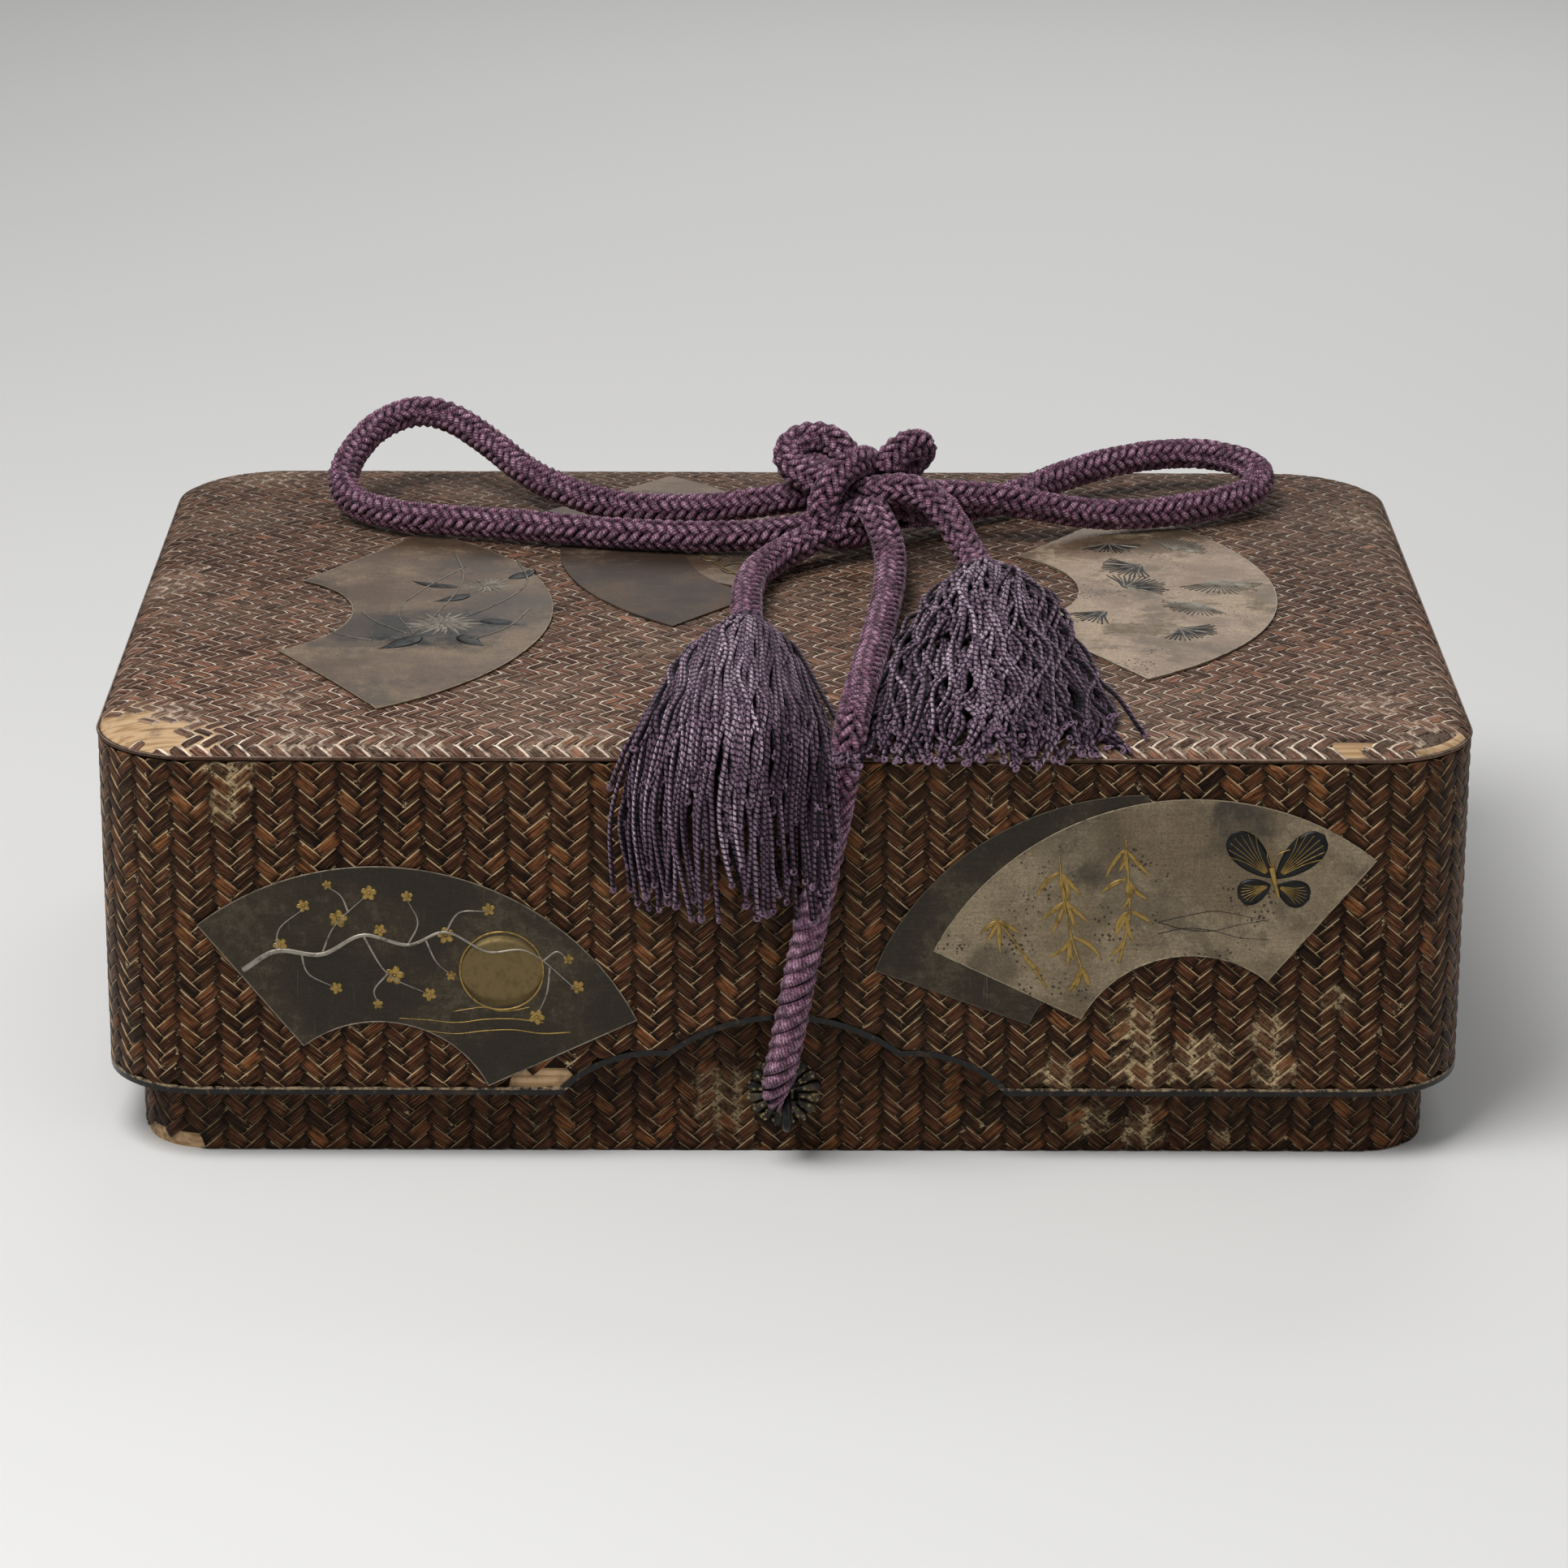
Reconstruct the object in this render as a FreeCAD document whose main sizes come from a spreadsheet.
"""Stationery box with a deep lift-off lid, twill skins, fan plates, ring fittings and a tied silk cord.

The origin is the middle of the face that the box stands on. +Z is up, the front faces -Y and the length
runs along X. Every length is in millimetres and every angle in degrees. The sheet holds the named sizes,
and below them the ones that follow from them.
"""
import FreeCAD, Part
import math
import os

import Sketcher
from FreeCAD import Placement, Rotation, Vector

# Named sizes of each piece, by themselves.
SIZES = {
    # lid
    "lid_width": 400.0,
    "lid_depth": 290.0,
    "corner_radius": 30.0,
    "arris_height": 126.0,
    "lid_bottom": 21.7,
    "lid_lip": 2.3,
    "skin_thickness": 1.3,
    "lid_board": 6.2,
    "lining_thickness": 0.5,
    "lid_top_edge": 3.7,
    "shoulder_width": 14.0,
    "shoulder_rise": 4.6,
    "crown_straight": 1.0,
    "dome_rise": 2.4,
    # thumb notch in the lid's front and back walls
    "notch_cusp_half": 33.6,
    "notch_cusp_rise": 12.3,
    "notch_crown_rise": 11.5,
    "scallop_radius": 36.8,
    "scallop_offset": 3.95,
    "notch_trim": 1.8,
    # base
    "lid_gap": 1.5,
    "base_board": 6.0,
    "floor_thickness": 5.0,
    "rim_thickness": 2.5,
    "seat_gap": 0.2,
    "skin_lift": 0.4,
    # ring fittings
    "plate_radius": 9.4,
    "petal_radius": 1.9,
    "plate_thickness": 0.9,
    "boss_radius": 5.0,
    "boss_thickness": 0.7,
    "fitting_height": 19.2,
    "staple_wire": 1.8,
    "staple_half_width": 3.6,
    "staple_seat": 0.1,
    "ring_gap": 0.5,
    "staple_bend": 2.0,
    "clinch_bend": 1.0,
    "clinch_length": 7.0,
    "leg_clearance": 0.1,
    "washer_radius": 5.5,
    "washer_thickness": 0.6,
    "ring_radius": 5.05,
    "ring_wire": 2.9,
    "ring_clearance": 0.25,
    "ring_shift": 0.8,
    # fan plates
    "fan_thickness": 0.7,
    "fan_under_thickness": 0.45,
    "front_fan_radius": 83.2,
    "front_fan_inner": 35.2,
    "top_fan_radius": 103.5,
    "top_fan_inner": 42.3,
    "centre_fan_inner": 64.0,
    # cord
    "cord_diameter": 10.0,
    "eye_clearance": 0.1,
    "knot_half_width": 16.0,
    "knot_half_depth": 17.0,
    "knot_half_height": 12.0,
    "binding_diameter": 12.4,
    "binding_length": 9.0,
    "tassel_left_width": 48.0,
    "tassel_right_width": 71.0,
    "tassel_thickness": 10.0,
    "tassel_hang": 44.0,
    "tassel_gap": 0.7,
    # one overrun for every cut
    "overrun": 5.0,
}

# Sizes and places that follow from the named ones. The sheet works them out.
PLACES = {
    "lid_wall_total": "skin_thickness + lid_board + lining_thickness",
    "base_inset": "lid_wall_total + lid_gap",
    "base_width": "lid_width - 2 * base_inset",
    "base_depth": "lid_depth - 2 * base_inset",
    "base_corner": "corner_radius - base_inset",
    "base_wall_total": "skin_thickness + base_board + lining_thickness",
    "weave_bottom": "lid_bottom + lid_lip",
    "skin_top": "arris_height - skin_thickness",
    "board_bottom": "skin_top - lid_top_edge",
    "lid_ceiling": "board_bottom - lining_thickness",
    "rim_top": "lid_ceiling - seat_gap",
    "rim_bottom": "rim_top - rim_thickness",
    "crown_top": "arris_height + shoulder_rise + dome_rise",
    "dome_width": "lid_depth / 2 - corner_radius - shoulder_width - crown_straight",
    "cusp_height": "lid_bottom + notch_cusp_rise",
    "arch_radius": "(notch_cusp_half^2 + notch_crown_rise^2) / (2 * notch_crown_rise)",
    "arch_height": "cusp_height + notch_crown_rise - arch_radius",
    "scallop_across": "notch_cusp_half + scallop_offset",
    "scallop_height": "cusp_height - sqrt(scallop_radius^2 - scallop_offset^2)",
    "lid_front": "lid_depth / 2",
    "base_front": "base_depth / 2",
    "plate_face": "base_front + plate_thickness + boss_thickness",
    "bar_reach": "plate_face + ring_gap + ring_radius + ring_wire / 2",
    "washer_face": "base_front - base_wall_total - washer_thickness",
    "ring_drop": "ring_radius - ring_wire / 2 - staple_wire / 2 - ring_clearance",
    "ring_height": "fitting_height - ring_drop",
}

# Each fan: its centre, as shares of the lid's width, of the fan's radius and of the lid's height or depth,
# then first angle and sweep.
FRONT_FAN_SHARES = {
    "fan_front_left": (-0.295, 0.0, 0.078, 25.5, 103.0),
    "fan_front_right": (0.295, 0.0, 0.246, 51.0, 103.0),
    "fan_front_right_under": (0.295, -0.166, 0.2555, 90.0, 69.5),
}
TOP_FAN_SHARES = {
    "fan_top_left": (-0.4357, 0.0, -0.104, -57.5, 112.0),
    "fan_top_right": (0.1237, 0.0, -0.018, -56.0, 110.0),
    "fan_top_centre": (-0.4357, 2.0008, 0.122, 176.0, 54.0),
    "fan_top_centre_under": (-0.4357, 0.6749, 0.1693, -30.0, 79.4),
}

# Share of the shoulder's width and of its rise, from the arris inwards.
SHOULDER_SHARES = ((0.0, 0.0), (0.1, 0.27), (0.28, 0.58), (0.6, 0.87), (1.0, 1.0))
# Share of the dome's width and of its rise, from the shoulder inwards.
DOME_SHARES = ((0.3, 0.46), (0.65, 0.84), (1.0, 1.0))
PETALS = 16

# A cord's arc takes this share of its shorter run.
RUN_SHARE = 0.45
# Hand-chosen points of each stretch of cord, along its middle.
ROUTES = {
    "cord_front_foot": ((-1.9, -150.1, 16.9), (-1.65, -150.7, 27.0), (0.2, -150.8, 38.0)),
    "cord_front_drop": (
        (0.2, -150.8, 38.0), (3.9, -151.0, 60.0), (8.6, -150.9, 83.0), (13.0, -151.0, 105.0),
        (16.2, -151.7, 123.0), (18.4, -147.8, 135.2), (20.2, -131.0, 137.6), (24.0, -102.0, 138.6),
        (28.4, -66.0, 139.2), (32.2, -28.0, 139.6), (33.6, -2.0, 141.6), (31.6, 14.0, 147.6),
        (28.0, 24.0, 150.6),
    ),
    "cord_back_foot": ((-0.6, 150.1, 16.9), (-0.1, 150.7, 27.0), (0.6, 150.8, 38.0)),
    "cord_back_drop": (
        (0.6, 150.8, 38.0), (2.0, 151.0, 60.0), (1.6, 150.9, 83.0), (3.4, 151.0, 105.0),
        (5.6, 151.7, 123.0), (8.0, 147.8, 135.2), (12.0, 130.0, 137.8), (17.6, 104.0, 138.8),
        (22.4, 80.0, 139.4), (25.4, 66.0, 142.4), (26.0, 55.0, 147.0),
    ),
    "bow_loop_left": (
        (16.0, 46.6, 149.8), (0.0, 49.6, 146.4), (-18.0, 53.5, 142.2), (-36.0, 57.5, 140.2),
        (-54.0, 62.5, 139.8), (-70.0, 74.0, 141.4), (-83.0, 88.0, 143.4), (-96.0, 104.0, 149.4),
        (-109.0, 117.0, 154.6), (-121.0, 117.0, 157.0), (-133.0, 108.0, 154.4), (-141.0, 95.5, 148.4),
        (-144.2, 80.0, 142.0), (-137.6, 66.0, 138.9), (-120.6, 53.0, 138.6), (-104.0, 49.0, 138.7),
        (-86.0, 45.6, 138.8), (-66.0, 38.6, 138.9), (-43.0, 33.6, 138.9), (-22.0, 31.4, 139.0),
        (-2.0, 32.8, 139.6), (17.0, 36.0, 142.6),
    ),
    "bow_loop_right": (
        (40.0, 42.0, 149.4), (56.0, 46.6, 148.8), (71.5, 47.4, 146.8), (85.0, 50.6, 143.4),
        (98.4, 54.6, 140.0), (113.0, 58.0, 138.8), (128.0, 63.6, 138.8), (142.0, 71.6, 139.0),
        (153.6, 82.0, 139.8), (158.0, 95.0, 141.6), (151.0, 107.0, 143.4), (137.0, 113.6, 144.0),
        (120.0, 111.4, 143.4), (104.0, 103.6, 142.4), (90.0, 94.0, 140.6), (78.0, 82.0, 139.2),
        (66.0, 70.6, 138.8), (53.0, 61.0, 139.2), (38.0, 50.0, 141.4),
    ),
    "bow_ear_left": (
        (22.0, 46.0, 155.4), (20.5, 50.5, 162.0), (13.0, 54.0, 166.0), (5.0, 55.5, 164.6),
        (0.6, 50.5, 160.8), (3.8, 44.2, 157.1), (9.5, 39.6, 156.1), (14.0, 37.0, 154.6),
    ),
    "bow_ear_right": (
        (30.8, 40.4, 157.6), (35.0, 43.5, 162.8), (40.2, 47.6, 165.4), (44.8, 53.0, 163.0),
        (43.2, 57.6, 158.6), (39.5, 57.2, 154.0), (34.4, 51.2, 152.8),
    ),
    "bow_tail_left": (
        (19.0, 25.4, 146.4), (8.6, 19.6, 142.0), (-2.6, 9.0, 139.2), (-9.4, -7.0, 138.8),
        (-11.6, -28.0, 138.9), (-11.3, -54.0, 139.0),
    ),
    "bow_tail_right": (
        (32.0, 30.0, 155.4), (41.0, 26.4, 156.6), (48.6, 20.2, 153.8), (54.0, 11.0, 148.2),
        (58.0, 2.0, 142.8), (60.5, -5.6, 140.4), (61.0, -12.6, 140.2),
    ),
}
KNOT_CENTRE = (26.0, 39.0, 149.6)

# Sections of a tassel where it lies on the lid: sideways share of the width, share of the way from the
# binding to the lid's front, height over the arris as a share of the cord, width share, thickness share, tilt.
TASSEL_TOP_SHARES = {
    "tassel_left": (
        (0.0, 0.0, 1.3, 0.27, 1.2, 0.0), (-0.004, 0.17, 1.34, 0.5, 1.2, 0.0),
        (-0.027, 0.42, 1.26, 0.73, 1.1, 0.0), (-0.065, 0.7, 1.12, 0.9, 1.0, 0.0),
        (-0.1, 0.91, 0.88, 0.98, 0.9, 14.0), (-0.13, 1.055, 0.53, 1.0, 0.8, 45.0),
    ),
    "tassel_right": (
        (0.0, 0.0, 1.34, 0.18, 1.2, 0.0), (0.006, 0.12, 1.44, 0.42, 1.4, 0.0),
        (0.006, 0.36, 1.4, 0.65, 1.4, 0.0), (0.01, 0.6, 1.3, 0.84, 1.3, 0.0),
        (0.014, 0.82, 1.16, 0.96, 1.2, 0.0), (0.02, 0.97, 0.86, 1.0, 1.0, 12.0),
    ),
}
# Sections where it hangs in front of the lid: sideways share, distance out as a share of the cord, share of
# the hanging length, width share and thickness share.
TASSEL_HANG_SHARES = {
    "tassel_left": (
        (-0.16, 0.57, 0.18, 1.0, 0.9), (-0.21, 0.61, 0.5, 1.0, 1.0),
        (-0.23, 0.61, 0.8, 1.0, 1.0), (-0.23, 0.56, 1.0, 0.88, 0.8),
    ),
    "tassel_right": (),
}
# Which tail each binding ends.
BINDINGS = {"tassel_binding_left": "bow_tail_left", "tassel_binding_right": "bow_tail_right"}

doc = FreeCAD.newDocument("stationery_box")


def fill_sheet():
    """Makes the sheet, with one aliased cell to each name, and returns it."""
    rows = {alias: repr(number) for alias, number in SIZES.items()}
    rows.update({alias: "=" + words for alias, words in PLACES.items()})
    sheet = doc.addObject("Spreadsheet::Sheet", "Sizes")
    for number, (alias, content) in enumerate(rows.items(), start=1):
        sheet.set("A%d" % number, alias)
        sheet.set("B%d" % number, content)
        sheet.setAlias("B%d" % number, alias)
    doc.recompute()
    return sheet


sizes = fill_sheet()


def size(alias):
    """Gives the number that a name stands for."""
    return float(sizes.get(alias))


def named(words):
    """Writes an expression on the names, set apart by spaces, so that each points at its cell."""
    return " ".join("Sizes." + word if word in SIZES or word in PLACES else word for word in words.split(" "))


def bind(thing, **expressions):
    """Binds properties of an object to the names; a double underscore stands for a dot."""
    for key, words in expressions.items():
        thing.setExpression(key.replace("__", "."), named(words))
    return thing


def value(words):
    """Works out an expression on the names."""
    return float(sizes.evalExpression(named(words)))


# Bodies made from a rounded rectangle

def plane_of(body, role):
    """Finds one of a body's own origin planes by its role."""
    return next(item for item in body.Origin.OriginFeatures if item.Role == role)


def add_loop(sketch, tag, width, depth, radius, inset):
    """Draws a rounded rectangle about the origin: a plan's three sizes, each drawn in by an inset."""
    half_x = (size(width) - 2 * value(inset)) / 2
    half_y = (size(depth) - 2 * value(inset)) / 2
    bend = size(radius) - value(inset)
    x, y = half_x - bend, half_y - bend
    first = sketch.GeometryCount
    up = Vector(0, 0, 1)
    ends = (
        ((-x, -half_y), (x, -half_y), (x, -y), 270),
        ((half_x, -y), (half_x, y), (x, y), 0),
        ((x, half_y), (-x, half_y), (-x, y), 90),
        ((-half_x, y), (-half_x, -y), (-x, -y), 180),
    )
    for start, end, centre, angle in ends:
        sketch.addGeometry(Part.LineSegment(Vector(*start), Vector(*end)), False)
        circle = Part.Circle(Vector(*centre), up, bend)
        turn = (math.radians(angle), math.radians(angle + 90))
        sketch.addGeometry(Part.ArcOfCircle(circle, *turn), False)
    for step in range(8):
        following = first + (step + 1) % 8
        sketch.addConstraint(Sketcher.Constraint("Tangent", first + step, 2, following, 1))
    for line, way in ((0, "Horizontal"), (2, "Vertical"), (4, "Horizontal"), (6, "Vertical")):
        sketch.addConstraint(Sketcher.Constraint(way, first + line))
    for arc in (3, 5, 7):
        sketch.addConstraint(Sketcher.Constraint("Equal", first + 1, first + arc))
    sketch.addConstraint(Sketcher.Constraint("Symmetric", first, 1, first + 4, 1, -1, 1))
    rules = (
        ("radius", ("Radius", first + 1, bend), radius + " - ( " + inset + " )"),
        ("width", ("DistanceX", first + 6, 1, first + 2, 1, 2 * half_x), width + " - 2 * ( " + inset + " )"),
        ("depth", ("DistanceY", first, 1, first + 4, 1, 2 * half_y), depth + " - 2 * ( " + inset + " )"),
    )
    for word, rule, words in rules:
        number = sketch.addConstraint(Sketcher.Constraint(*rule))
        sketch.renameConstraint(number, word + "_" + tag)
        sketch.setExpression("Constraints." + word + "_" + tag, named(words))


def plan_body(label, plan, outer, inner, bottom, top):
    """Pads a board or a ring of walls between two heights, from a plan drawn in at its two sides."""
    body = doc.addObject("PartDesign::Body", label)
    sketch = body.newObject("Sketcher::SketchObject", label + "_outline")
    sketch.AttachmentSupport = (plane_of(body, "XY_Plane"), [""])
    sketch.MapMode = "FlatFace"
    sketch.setExpression(".AttachmentOffset.Base.z", named(bottom))
    add_loop(sketch, "outer", *plan, outer)
    if inner:
        add_loop(sketch, "inner", *plan, inner)
    pad = body.newObject("PartDesign::Pad", label + "_pad")
    pad.Profile = sketch
    pad.setExpression("Length", named(top + " - ( " + bottom + " )"))
    sketch.Visibility = False
    body.Label = label
    return body


LID_PLAN = ("lid_width", "lid_depth", "corner_radius")
BASE_PLAN = ("base_width", "base_depth", "base_corner")


def cut(label, base, tool):
    """Cuts one object with another."""
    thing = doc.addObject("Part::Cut", label)
    thing.Base, thing.Tool = base, tool
    thing.Label = label
    return thing


def common(label, base, tool):
    """Keeps what two objects share."""
    thing = doc.addObject("Part::Common", label)
    thing.Base, thing.Tool = base, tool
    thing.Label = label
    return thing


def fuse(label, things):
    """Joins objects into one."""
    thing = doc.addObject("Part::MultiFuse", label)
    thing.Shapes = things
    thing.Label = label
    return thing


def cylinder(label, radius, length, turn, x, y, z):
    """Makes a cylinder bound to the names, turned about X and moved to a named place."""
    thing = doc.addObject("Part::Cylinder", label)
    thing.Placement = Placement(Vector(), Rotation(Vector(1, 0, 0), turn))
    bind(thing, Radius=radius, Height=length, Placement__Base__x=x, Placement__Base__y=y, Placement__Base__z=z)
    return thing


# Thumb notch: one wide arch between two scallops, cut right through the front and back walls

def notch_tool(label, growth):
    """Makes the notch's opening as three long drums across the box, each grown by the trim or by nothing."""
    length, start, scallop = "lid_depth + 2 * overrun", "lid_front + overrun", "scallop_radius + " + growth
    arch = cylinder(label + "_arch", "arch_radius + " + growth, length, 90, "0", start, "arch_height")
    left = cylinder(label + "_left", scallop, length, 90, "0 - scallop_across", start, "scallop_height")
    right = cylinder(label + "_right", scallop, length, 90, "scallop_across", start, "scallop_height")
    return fuse(label, [arch, left, right])


opening = notch_tool("notch_opening", "0")
wide_opening = notch_tool("notch_with_trim", "notch_trim")

skin, board, lining = "skin_thickness", "skin_thickness + lid_board", "lid_wall_total"
lid_wall = plan_body("lid_wall_blank", LID_PLAN, skin, board, "weave_bottom", "board_bottom")
lid_skin = plan_body("lid_skin_blank", LID_PLAN, "0", skin, "weave_bottom", "skin_top")
lid_lining = plan_body("lid_lining_blank", LID_PLAN, board, lining, "weave_bottom", "board_bottom")
cut("lid_wall", lid_wall, wide_opening)
cut("lid_weave_sides", lid_skin, wide_opening)
cut("lid_lining_sides", lid_lining, wide_opening)
cut("lid_rim", plan_body("lid_rim_blank", LID_PLAN, "0", lining, "lid_bottom", "weave_bottom"), wide_opening)
plan_body("lid_lining_top", LID_PLAN, lining, None, "lid_ceiling", "board_bottom")

trim_wall = plan_body("trim_wall", LID_PLAN, "0", lining, "lid_bottom", "arris_height - overrun")
trims = cut("notch_trims", common("notch_band", trim_wall, wide_opening), opening)


def half_space(label, y):
    """Makes a box over the front or the back half of the lid."""
    thing = doc.addObject("Part::Box", label)
    bind(thing, Length="lid_width", Width="lid_depth", Height="arris_height")
    bind(thing, Placement__Base__x="0 - lid_width / 2", Placement__Base__y=y)
    return thing


common("notch_trim_front", trims, half_space("front_half", "0 - lid_depth"))
common("notch_trim_back", trims, half_space("back_half", "0"))

# Base: boards, floor, skin, lining and rim

base_skin, base_board, base_lining = "skin_thickness", "skin_thickness + base_board", "base_wall_total"
wall_blank = plan_body("base_wall_blank", BASE_PLAN, base_skin, base_board, "0", "rim_bottom")
skin_blank = plan_body("base_skin_blank", BASE_PLAN, "0", base_skin, "skin_lift", "rim_bottom")
lining_blank = plan_body(
    "base_lining_blank", BASE_PLAN, base_board, base_lining, "floor_thickness", "rim_bottom")
plan_body("base_floor", BASE_PLAN, base_board, None, "0", "floor_thickness")
lined_floor = "floor_thickness + lining_thickness"
plan_body("base_lining_floor", BASE_PLAN, base_lining, None, "floor_thickness", lined_floor)
plan_body("base_rim", BASE_PLAN, "0", base_lining, "rim_bottom", "rim_top")

hole = "staple_wire / 2 + leg_clearance"
leg_holes = [
    cylinder("leg_hole_%d" % number, hole, "lid_depth", 90, x, "lid_front", "fitting_height")
    for number, x in enumerate(("0 - staple_half_width", "staple_half_width"))
]
legs = fuse("leg_holes", leg_holes)
cut("base_wall", wall_blank, legs)
cut("base_weave", skin_blank, legs)
cut("base_lining_sides", lining_blank, legs)


# Lid top: a shallow dome with a rounded shoulder, lofted through rounded rectangles

def rounded_wire(inset, height):
    """Makes the lid's outline, drawn in by an inset, at a height. The corners keep their radius."""
    bend = size("corner_radius")
    x, y = size("lid_width") / 2 - inset - bend, size("lid_depth") / 2 - inset - bend
    half = bend * math.sqrt(0.5)
    edges = []
    for sx, sy in ((1, 1), (-1, 1), (-1, -1), (1, -1)):
        corner = Vector(sx * x, sy * y, height)
        along_x = corner + Vector(sx * bend, 0, 0)
        along_y = corner + Vector(0, sy * bend, 0)
        first, last = (along_x, along_y) if sx * sy > 0 else (along_y, along_x)
        middle = corner + Vector(sx * half, sy * half, 0)
        edges.append((first, middle, last))
    wire = []
    for number, (first, middle, last) in enumerate(edges):
        wire.append(Part.Arc(first, middle, last).toShape())
        wire.append(Part.LineSegment(last, edges[(number + 1) % 4][0]).toShape())
    return Part.Wire(wire)


def crown(lift):
    """Makes the solid under the lid's domed top, moved up or down by a lift, from the board's underside."""
    width, rise = size("shoulder_width"), size("shoulder_rise")
    arris = size("arris_height") + lift
    wires = [rounded_wire(0, size("board_bottom"))]
    wires += [rounded_wire(a * width, arris + b * rise) for a, b in SHOULDER_SHARES]
    for across, up in DOME_SHARES:
        wires.append(rounded_wire(width + across * size("dome_width"), arris + rise + up * size("dome_rise")))
    return Part.makeLoft(wires, True, True)


def feature(label, shape):
    """Puts a shape made in code into the document."""
    thing = doc.addObject("Part::Feature", label)
    thing.Shape = shape
    thing.Label = label
    return thing


top_outside = feature("crown_outside", crown(0))
top_inside = feature("crown_inside", crown(-size("skin_thickness")))
above_skin = plan_body("above_skin", LID_PLAN, "0", None, "skin_top", "crown_top + overrun")
top_skin = common("top_skin_blank", top_outside, above_skin)
cut("lid_weave_top", top_skin, top_inside)
board_plan = plan_body("board_plan", LID_PLAN, skin, None, "board_bottom", "crown_top + overrun")
common("lid_top_board", top_inside, board_plan)


# Fan plates: sectors of a disc, flat on the front and following the dome on the top

def fan_tool(label, fan, radius, inner, length, flat):
    """Makes a fan's sector as a prism: the axis runs up for the top, and to the front for the front."""
    along, shift, across, start, sweep = fan
    middle = "lid_width * %g + %s * %g" % (along, radius, shift)
    turn = Rotation() if flat else Rotation(Vector(1, 0, 0), 90)
    spin = turn.multiply(Rotation(Vector(0, 0, 1), start))
    disc = doc.addObject("Part::Cylinder", label + "_disc")
    disc.Angle = sweep
    hollow = doc.addObject("Part::Cylinder", label + "_hollow")
    for thing, words in ((disc, radius), (hollow, inner)):
        thing.Placement = Placement(Vector(), spin)
        bind(thing, Radius=words, Height=length, Placement__Base__x=middle)
        if flat:
            bind(thing, Placement__Base__y="lid_depth * %g" % across, Placement__Base__z="board_bottom")
        else:
            bind(thing, Placement__Base__y="0 - lid_front", Placement__Base__z="arris_height * %g" % across)
    return cut(label, disc, hollow)


def front_fans():
    """Lays the three plates on the lid's front. The dark one shows from behind the grey one."""
    front = ("front_fan_radius", "front_fan_inner")
    fan_tool("fan_front_left", FRONT_FAN_SHARES["fan_front_left"], *front, "fan_thickness", False)
    fan_tool("fan_front_right", FRONT_FAN_SHARES["fan_front_right"], *front, "fan_thickness", False)
    under = FRONT_FAN_SHARES["fan_front_right_under"]
    behind = fan_tool("under_blank", under, *front, "fan_under_thickness", False)
    cover = fan_tool("front_cover", FRONT_FAN_SHARES["fan_front_right"], *front, "fan_thickness", False)
    cut("fan_front_right_under", behind, cover)


def top_fans():
    """Lays the four plates on the dome, each a slice of a shell as thick as the plate."""
    shells = {}
    for words in ("fan_thickness", "fan_under_thickness"):
        raised = feature("raised_" + words, crown(size(words)))
        shells[words] = cut("shell_" + words, raised, top_outside)
    length = "crown_top - board_bottom + overrun"
    tools = {}
    for label, fan in TOP_FAN_SHARES.items():
        inner = "centre_fan_inner" if label == "fan_top_centre" else "top_fan_inner"
        tools[label] = fan_tool(label + "_prism", fan, "top_fan_radius", inner, length, True)
    for label in ("fan_top_left", "fan_top_right", "fan_top_centre"):
        common(label, shells["fan_thickness"], tools[label])
    behind = common("under_slice", shells["fan_under_thickness"], tools["fan_top_centre_under"])
    cut("fan_top_centre_under", behind, tools["fan_top_centre"])


front_fans()
top_fans()


# Wires and cords: straight runs joined by tangent arcs

def path_wire(points, bends=None):
    """Joins points by runs and arcs, each as large as its runs or its own bend allow, and lists the radii."""
    edges, radii = [], []
    start = points[0]
    bends = bends or [math.inf] * (len(points) - 2)
    for before, corner, after, bend in zip(points, points[1:], points[2:], bends):
        back, ahead = before - corner, after - corner
        half = (math.pi - back.getAngle(ahead)) / 2
        radius = min(bend, RUN_SHARE * min(back.Length, ahead.Length) / math.tan(half))
        reach = radius * math.tan(half)
        leave = corner + back * (reach / back.Length)
        join = corner + ahead * (reach / ahead.Length)
        towards = (leave + join) * 0.5 - corner
        middle = corner + towards * (radius * (1 / math.cos(half) - 1) / towards.Length)
        edges.append(Part.LineSegment(start, leave).toShape())
        edges.append(Part.Arc(leave, middle, join).toShape())
        radii.append(radius)
        start = join
    edges.append(Part.LineSegment(start, points[-1]).toShape())
    return Part.Wire(edges), radii


def tube(points, diameter, bends=None):
    """Sweeps a round section along a path of points, and returns the solid, its length and its radii."""
    wire, radii = path_wire(points, bends)
    section = Part.Wire([Part.Circle(points[0], points[1] - points[0], diameter / 2).toShape()])
    solid = wire.makePipeShell([section], True, False)
    expected = math.pi * diameter**2 / 4 * wire.Length
    if abs(solid.Volume / expected - 1) > 0.01:
        raise ValueError("a tube's volume is off: %.1f for %.1f" % (solid.Volume, expected))
    return solid, wire.Length, radii


# Ring fittings: a petalled plate, a split staple with clinched legs, a washer inside and a hanging ring

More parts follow.
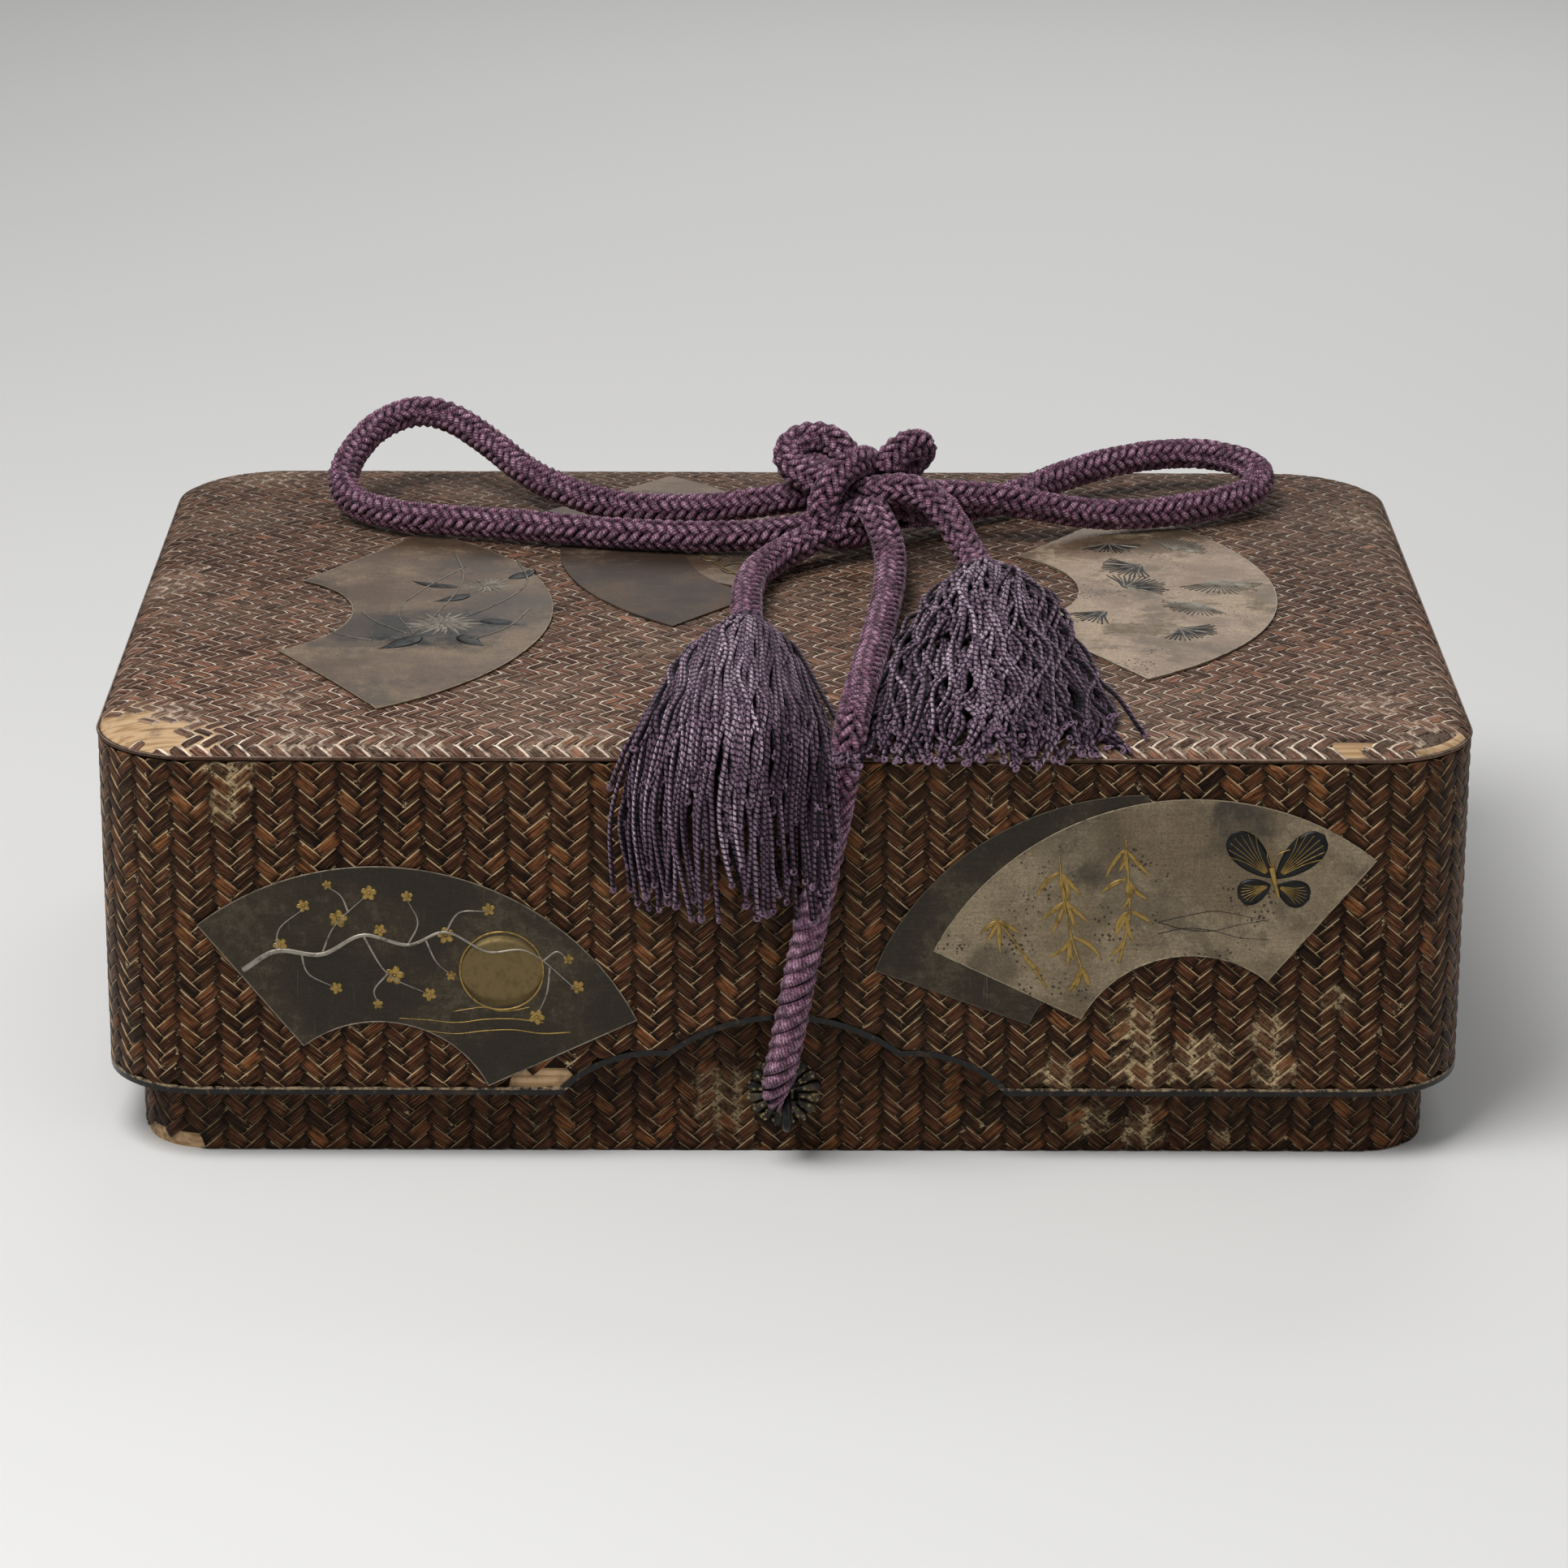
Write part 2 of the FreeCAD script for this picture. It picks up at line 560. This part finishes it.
def ring_plate(label, side):
    """Makes the petalled plate with its low boss, flat on the base's skin and holed for the staple's legs."""
    turn = 90 if side < 0 else -90
    face = "0 - base_front" if side < 0 else "base_front"
    at = (turn, "0", face, "fitting_height")
    disc = cylinder(label + "_disc", "plate_radius", "plate_thickness", *at)
    boss = cylinder(label + "_boss", "boss_radius", "plate_thickness + boss_thickness", *at)
    things = [disc, boss]
    for number in range(PETALS):
        angle = 360 * number / PETALS
        petal = doc.addObject("Part::Cylinder", label + "_petal_%d" % number)
        petal.Placement = Placement(Vector(), Rotation(Vector(1, 0, 0), turn))
        bind(petal, Radius="petal_radius", Height="plate_thickness", Placement__Base__y=face)
        petal.setExpression("Placement.Base.x", "Sizes.plate_radius * cos(%g)" % angle)
        petal.setExpression("Placement.Base.z", "Sizes.fitting_height + Sizes.plate_radius * sin(%g)" % angle)
        things.append(petal)
    cut(label, fuse(label + "_blank", things), legs)


def staple(label, side):
    """Bends the staple: clinched ends inside, legs through the wall and the bar that the ring hangs on."""
    half, height = size("staple_half_width"), size("fitting_height")
    inner = side * (size("washer_face") - size("staple_seat") - size("staple_wire") / 2)
    outer = side * size("bar_reach")
    far = half + size("clinch_length")
    points = [(-far, inner), (-half, inner), (-half, outer), (half, outer), (half, inner), (far, inner)]
    route = [Vector(x, y, height) for x, y in points]
    clinch, corner = size("clinch_bend"), size("staple_bend")
    feature(label, tube(route, size("staple_wire"), [clinch, corner, corner, clinch])[0])


def washer(label, side):
    """Makes the washer that the legs are clinched over, against the base's lining."""
    turn = -90 if side < 0 else 90
    face = "base_front - base_wall_total"
    place = "0 - ( " + face + " )" if side < 0 else face
    disc = cylinder(label + "_disc", "washer_radius", "washer_thickness", turn, "0", place, "fitting_height")
    cut(label, disc, legs)


def ring(label, side):
    """Hangs the ring on the staple's bar, in the plane across the bar."""
    thing = doc.addObject("Part::Torus", label)
    thing.Placement = Placement(Vector(), Rotation(Vector(0, 1, 0), 90))
    reach = "0 - bar_reach" if side < 0 else "bar_reach"
    bind(thing, Radius1="ring_radius", Radius2="ring_wire / 2", Placement__Base__x="ring_shift")
    bind(thing, Placement__Base__y=reach, Placement__Base__z="ring_height")
    thing.Label = label
    return thing


for place, side in (("front", -1), ("back", 1)):
    ring_plate("ring_plate_" + place, side)
    staple("staple_" + place, side)
    washer("clinch_washer_" + place, side)
    ring("ring_" + place, side)


# Cord: two drops from the rings to the bow, its loops, ears, tails and tassels

def knot():
    """Makes the knot's gathered middle as an ellipsoid."""
    thing = doc.addObject("Part::Ellipsoid", "bow_knot")
    thing.Placement = Placement(Vector(*KNOT_CENTRE), Rotation())
    bind(thing, Radius1="knot_half_height", Radius2="knot_half_width", Radius3="knot_half_depth")
    thing.Label = "bow_knot"
    doc.recompute()
    return thing.Shape


def ring_hole(side):
    """Makes the way that the ring takes through the cord's sewn end."""
    middle = Vector(size("ring_shift"), side * size("bar_reach"), size("ring_height"))
    wire = size("ring_wire") / 2 + size("eye_clearance")
    return Part.makeTorus(size("ring_radius"), wire, middle, Vector(1, 0, 0))


def cords():
    """Makes each stretch of cord along its route, up to the knot or round the ring, and prints its bends."""
    middle = knot()
    tools = {"cord_front_foot": ring_hole(-1), "cord_back_foot": ring_hole(1)}
    for label, route in ROUTES.items():
        solid, length, radii = tube([Vector(*point) for point in route], size("cord_diameter"))
        print("%s: length %.1f mm, radii %s" % (label, length, ", ".join("%.1f" % radius for radius in radii)))
        pieces = solid.cut(tools.get(label, middle)).Solids
        feature(label, max(pieces, key=lambda piece: piece.Volume))


def flat_section(middle, width, thickness, tilt):
    """Makes a tassel's section: a strip with round ends, tilted about X."""
    end = thickness / 2
    reach = width / 2 - end
    turn = Rotation(Vector(1, 0, 0), tilt)
    corners = [(-reach, end), (reach, end), (reach + end, 0), (reach, -end), (-reach, -end), (-reach - end, 0)]
    at = [middle + turn.multVec(Vector(a, 0, b)) for a, b in corners]
    edges = [
        Part.LineSegment(at[0], at[1]), Part.Arc(at[1], at[2], at[3]),
        Part.LineSegment(at[3], at[4]), Part.Arc(at[4], at[5], at[0]),
    ]
    return Part.Wire([edge.toShape() for edge in edges])


def tassel(label, head):
    """Lofts a tassel through its sections, from its head, along the lid's top and down over the arris."""
    width, thickness, cord = size(label + "_width"), size("tassel_thickness"), size("cord_diameter")
    arris, front = size("arris_height"), -size("lid_front")
    wires = []
    for side, way, rise, wide, thick, tilt in TASSEL_TOP_SHARES[label]:
        middle = Vector(head.x + side * width, head.y + way * (front - head.y), arris + rise * cord)
        wires.append(flat_section(middle, wide * width, thick * thickness, tilt))
    for side, out, drop, wide, thick in TASSEL_HANG_SHARES[label]:
        middle = Vector(head.x + side * width, front - out * cord, arris - drop * size("tassel_hang"))
        wires.append(flat_section(middle, wide * width, thick * thickness, 90))
    feature(label, Part.makeLoft(wires, True, True))


def tassels():
    """Makes each tail's binding, in line with the tail, and the tassel that hangs from it."""
    for label, tail in BINDINGS.items():
        before, end = (Vector(*point) for point in ROUTES[tail][-2:])
        way = (end - before).normalize()
        thing = doc.addObject("Part::Cylinder", label)
        thing.Placement = Placement(end, Rotation(Vector(0, 0, 1), way))
        bind(thing, Radius="binding_diameter / 2", Height="binding_length")
        thing.Label = label
        tassel(label.replace("_binding", ""), end + way * (size("binding_length") + size("tassel_gap")))


cords()
tassels()

NODES = [
    "base_wall", "base_floor", "base_weave", "base_lining_sides", "base_lining_floor", "base_rim",
    "ring_plate_front", "ring_plate_back", "staple_front", "staple_back", "clinch_washer_front",
    "clinch_washer_back", "ring_front", "ring_back",
    "lid_wall", "lid_top_board", "lid_weave_top", "lid_weave_sides", "lid_lining_sides", "lid_lining_top",
    "lid_rim", "notch_trim_front", "notch_trim_back", *FRONT_FAN_SHARES, *TOP_FAN_SHARES,
    *ROUTES, "bow_knot", *BINDINGS, *TASSEL_TOP_SHARES,
]


def export_parts():
    """Checks every object, then writes one STEP file to each sub-part."""
    doc.recompute()
    for thing in doc.Objects:
        if "Invalid" in thing.State or "Error" in thing.State:
            raise ValueError(thing.Label + " failed: " + ", ".join(thing.State))
    found = {}
    for label in NODES:
        thing = doc.getObjectsByLabel(label)[0]
        if thing.Shape.isNull() or not thing.Shape.isValid() or not thing.Shape.Solids:
            raise ValueError(label + " has no valid solid")
        found[label] = thing.Shape
    os.makedirs("parts", exist_ok=True)
    for label, shape in found.items():
        shape.exportStep("parts/" + label + ".step")
        box = shape.BoundBox
        corners = (box.XMin, box.XMax, box.YMin, box.YMax, box.ZMin, box.ZMax)
        print("%-24s %2d solid(s) %10.1f mm3" % (label, len(shape.Solids), shape.Volume), end="")
        print("  x %.1f..%.1f y %.1f..%.1f z %.1f..%.1f" % corners)


export_parts()
